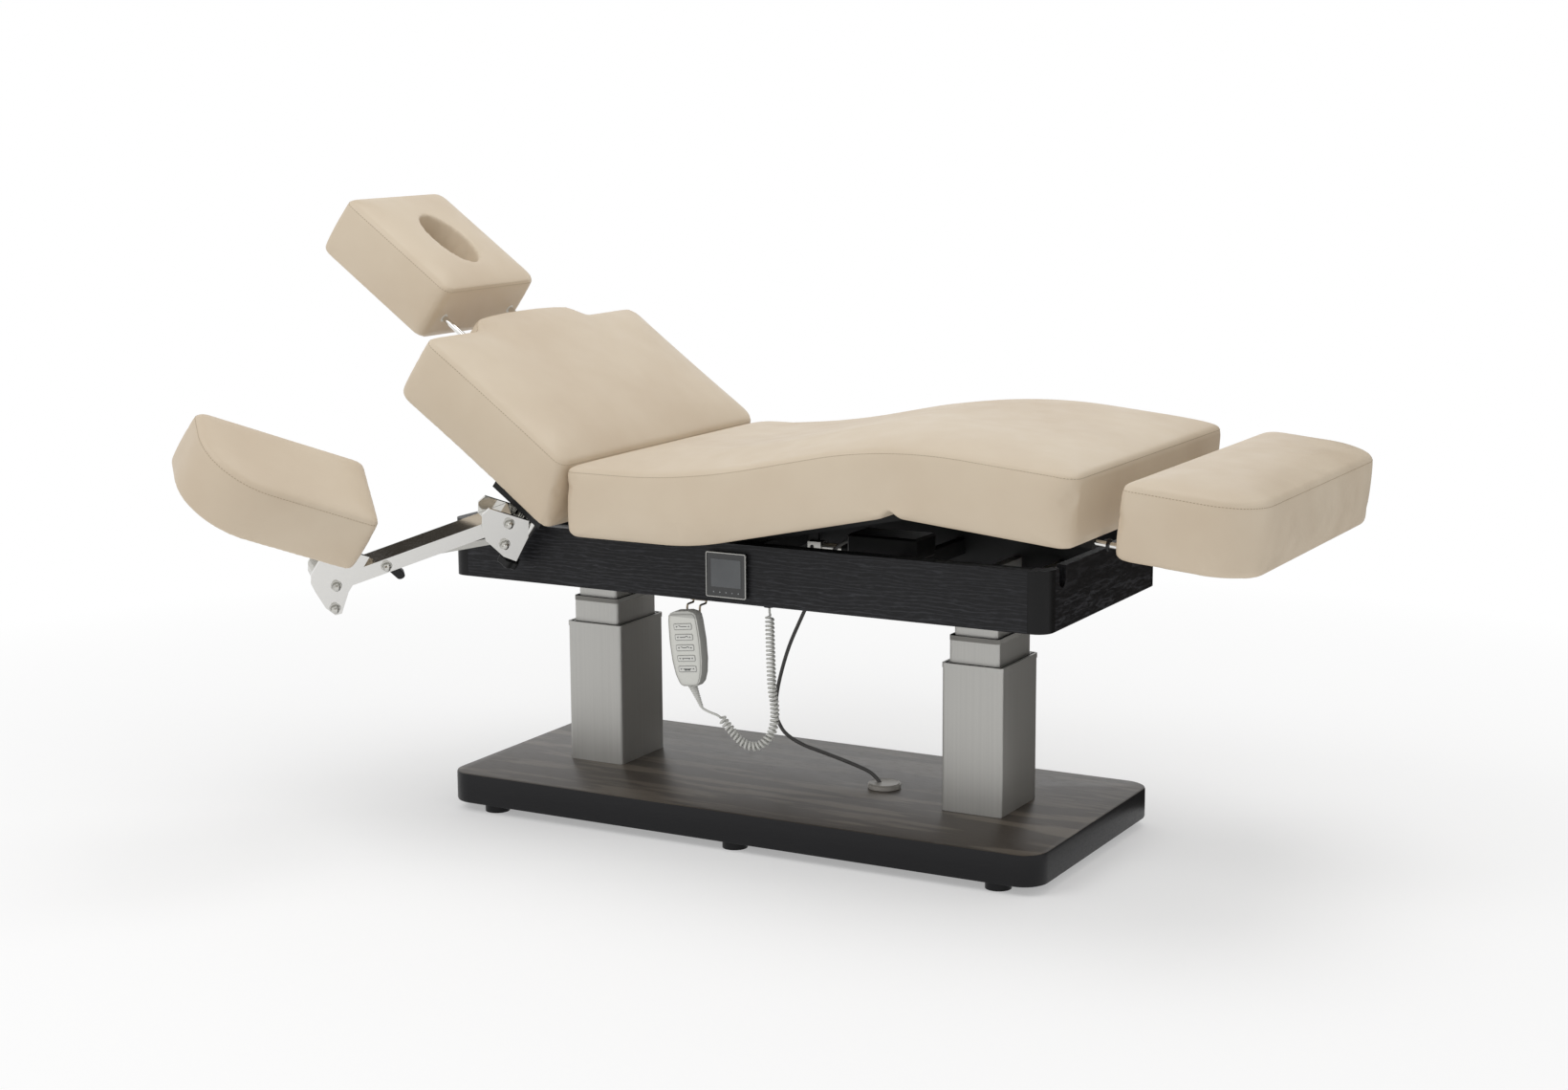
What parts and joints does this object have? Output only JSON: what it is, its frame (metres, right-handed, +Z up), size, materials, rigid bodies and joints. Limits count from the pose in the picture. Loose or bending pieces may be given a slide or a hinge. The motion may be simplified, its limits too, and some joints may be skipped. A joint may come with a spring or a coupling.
{
  "type": "electric spa table",
  "caption": "Electric spa couch with tilting backrest, folding leg section, sliding face pillow and bolster, swing-out arm rest and lifting columns.",
  "frame": {"origin": "centre of the table's box, without its cords, at floor level", "axes": "+X towards the foot bolster, -Y towards the side with the arm rest, panel and handset, +Z up"},
  "size_m": [2.112, 1.243, 1.2303],
  "materials": {
    "upholstery": "soft upholstery",
    "plywood": "plywood",
    "grey_brown_oak": "matt oak laminate",
    "charcoal_oak": "stained oak",
    "silver_anodised": "satin",
    "bright_chrome": "polished",
    "zinc_plate": "zinc plated",
    "bronze_wire": "bronze",
    "black_powder_coat": "powder coat",
    "black_plastic": "moulded",
    "pale_plastic": "moulded",
    "pale_grey_plastic": "moulded",
    "key_grey_plastic": "moulded",
    "dark_cable": "cable sheath",
    "pale_cord_plastic": "moulded cord"
  },
  "bodies": {
    "base": {"base_board": "grey_brown_oak", "head_column_outer": "silver_anodised", "foot_column_outer": "silver_anodised", "cable_grommet": "pale_plastic", "lift_cable": "dark_cable"},
    "lift_middle": {"head_column_middle": "silver_anodised", "foot_column_middle": "silver_anodised"},
    "frame": {"head_column_inner": "silver_anodised", "foot_column_inner": "silver_anodised", "head_lift_motor": "black_plastic", "foot_lift_motor": "black_plastic", "steel_frame": "black_powder_coat", "near_apron": "charcoal_oak", "far_apron": "charcoal_oak", "head_apron": "charcoal_oak", "foot_apron": "charcoal_oak", "touch_panel": "silver_anodised", "control_box": "black_plastic", "handset_hooks": "bronze_wire", "cord_gland": "black_plastic", "seat_board": "plywood", "seat_cushion": "upholstery", "back_actuator": "black_plastic", "thigh_actuator": "black_plastic", "curly_cord": "pale_cord_plastic"},
    "backrest": {"back_bars": "black_powder_coat", "back_board": "plywood", "back_cushion": "upholstery", "arm_mount": "black_powder_coat"},
    "back_rod": {"back_actuator_rod": "zinc_plate"},
    "thigh_rod": {"thigh_actuator_rod": "zinc_plate"},
    "headrest": {"headrest_board": "plywood", "headrest_pillow": "upholstery", "near_headrest_rod": "bright_chrome", "far_headrest_rod": "bright_chrome"},
    "thigh": {"thigh_bars": "black_powder_coat", "thigh_board": "plywood", "thigh_cushion": "upholstery"},
    "leg": {"leg_bars": "black_powder_coat", "leg_board": "plywood", "leg_cushion": "upholstery"},
    "bolster": {"bolster_board": "plywood", "bolster_cushion": "upholstery", "near_bolster_rod": "bright_chrome", "far_bolster_rod": "bright_chrome"},
    "arm_swivel": {"arm_bracket": "bright_chrome"},
    "knob": {"star_knob": "black_plastic"},
    "arm": {"arm_bar": "bright_chrome"},
    "lever": {"release_lever": "black_plastic"},
    "strip": {"lock_strip": "zinc_plate"},
    "pad_carrier": {"arm_carrier": "bright_chrome", "arm_pad": "upholstery"},
    "handset": {"handset_body": "pale_grey_plastic", "handset_strain_relief": "pale_cord_plastic"},
    "key_1": {"handset_key_1": "key_grey_plastic"},
    "key_2": {"handset_key_2": "key_grey_plastic"},
    "key_3": {"handset_key_3": "key_grey_plastic"},
    "key_4": {"handset_key_4": "key_grey_plastic"},
    "key_5": {"handset_key_5": "key_grey_plastic"}
  },
  "joints": [
    {"name": "lift", "type": "slide", "parent": "base", "child": "frame", "axis": [0, 0, 1], "range_m": [-0.104, 0.195], "deforming": ["lift_cable"]},
    {"name": "lift_stage", "type": "slide", "parent": "base", "child": "lift_middle", "axis": [0, 0, 1], "range_m": [-0.052, 0.0975]},
    {"name": "back_tilt", "type": "hinge", "parent": "frame", "child": "backrest", "pos_m": [-0.35592, 0.24246, 0.59662], "axis": [0, 1, 0], "range_deg": [-35.9, 0]},
    {"name": "back_rod_slide", "type": "slide", "parent": "frame", "child": "back_rod", "axis": [-1, 0, 0], "range_m": [-0.0383, 0]},
    {"name": "thigh_lift", "type": "hinge", "parent": "frame", "child": "thigh", "pos_m": [-0.04092, 0.24246, 0.59662], "axis": [0, -1, 0], "range_deg": [-12.1, 4.9]},
    {"name": "thigh_rod_slide", "type": "slide", "parent": "frame", "child": "thigh_rod", "axis": [1, 0, 0], "range_m": [-0.0131, 0.0054]},
    {"name": "knee", "type": "hinge", "parent": "thigh", "child": "leg", "pos_m": [0.37464, 0.24246, 0.68571], "axis": [0, -1, 0], "range_deg": [-7.1, 17.5]},
    {"name": "headrest_slide", "type": "slide", "parent": "backrest", "child": "headrest", "axis": [-0.81, 0, 0.5864], "range_m": [-0.075, 0.05]},
    {"name": "bolster_slide", "type": "slide", "parent": "leg", "child": "bolster", "axis": [0.9956, 0, -0.0941], "range_m": [-0.072, 0.05]},
    {"name": "arm_swing", "type": "hinge", "parent": "backrest", "child": "arm_swivel", "pos_m": [-0.41284, -0.07154, 0.6493], "axis": [0.5864, 0, 0.81], "range_deg": [-28, 37]},
    {"name": "knob_turn", "type": "hinge", "parent": "backrest", "child": "knob", "pos_m": [-0.41284, -0.07154, 0.6493], "axis": [0.5864, 0, 0.81], "continuous": true},
    {"name": "arm_lift", "type": "hinge", "parent": "arm_swivel", "child": "arm", "pos_m": [-0.4647, -0.11535, 0.63438], "axis": [-0.6452, 0.6046, 0.4671], "range_deg": [-8, 44.8]},
    {"name": "strip_turn", "type": "hinge", "parent": "arm_swivel", "child": "strip", "pos_m": [-0.48501, -0.1026, 0.58982], "axis": [-0.6452, 0.6046, 0.4671], "range_deg": [-8, 44.8]},
    {"name": "pad_level", "type": "hinge", "parent": "arm", "child": "pad_carrier", "pos_m": [-0.73322, -0.31486, 0.52169], "axis": [-0.6452, 0.6046, 0.4671], "range_deg": [-44.8, 8]},
    {"name": "lever_turn", "type": "hinge", "parent": "arm", "child": "lever", "pos_m": [-0.65487, -0.25665, 0.55457], "axis": [-0.6452, 0.6046, 0.4671], "range_deg": [0, 15], "stiffness_Nm_per_rad": 0.5},
    {"name": "handset_unhook", "type": "slide", "parent": "frame", "child": "handset", "axis": [0, -1, 0], "range_m": [0, 0.06]},
    {"name": "key_1_press", "type": "slide", "parent": "handset", "child": "key_1", "axis": [0, 1, 0], "range_m": [0, 0.001], "stiffness_N_per_m": 500},
    {"name": "key_2_press", "type": "slide", "parent": "handset", "child": "key_2", "axis": [0, 1, 0], "range_m": [0, 0.001], "stiffness_N_per_m": 500},
    {"name": "key_3_press", "type": "slide", "parent": "handset", "child": "key_3", "axis": [0, 1, 0], "range_m": [0, 0.001], "stiffness_N_per_m": 500},
    {"name": "key_4_press", "type": "slide", "parent": "handset", "child": "key_4", "axis": [0, 1, 0], "range_m": [0, 0.001], "stiffness_N_per_m": 500},
    {"name": "key_5_press", "type": "slide", "parent": "handset", "child": "key_5", "axis": [0, 1, 0], "range_m": [0, 0.001], "stiffness_N_per_m": 500}
  ],
  "couplings": [
    {"joint": "lift_stage", "follows": "lift", "ratio": 0.5},
    {"joint": "back_rod_slide", "follows": "back_tilt", "m_per_rad": 0.061},
    {"joint": "thigh_rod_slide", "follows": "thigh_lift", "m_per_rad": 0.0617},
    {"joint": "knee", "follows": "thigh_lift", "ratio": -1.446},
    {"joint": "strip_turn", "follows": "arm_lift", "ratio": 1},
    {"joint": "pad_level", "follows": "arm_lift", "ratio": -1}
  ]
}
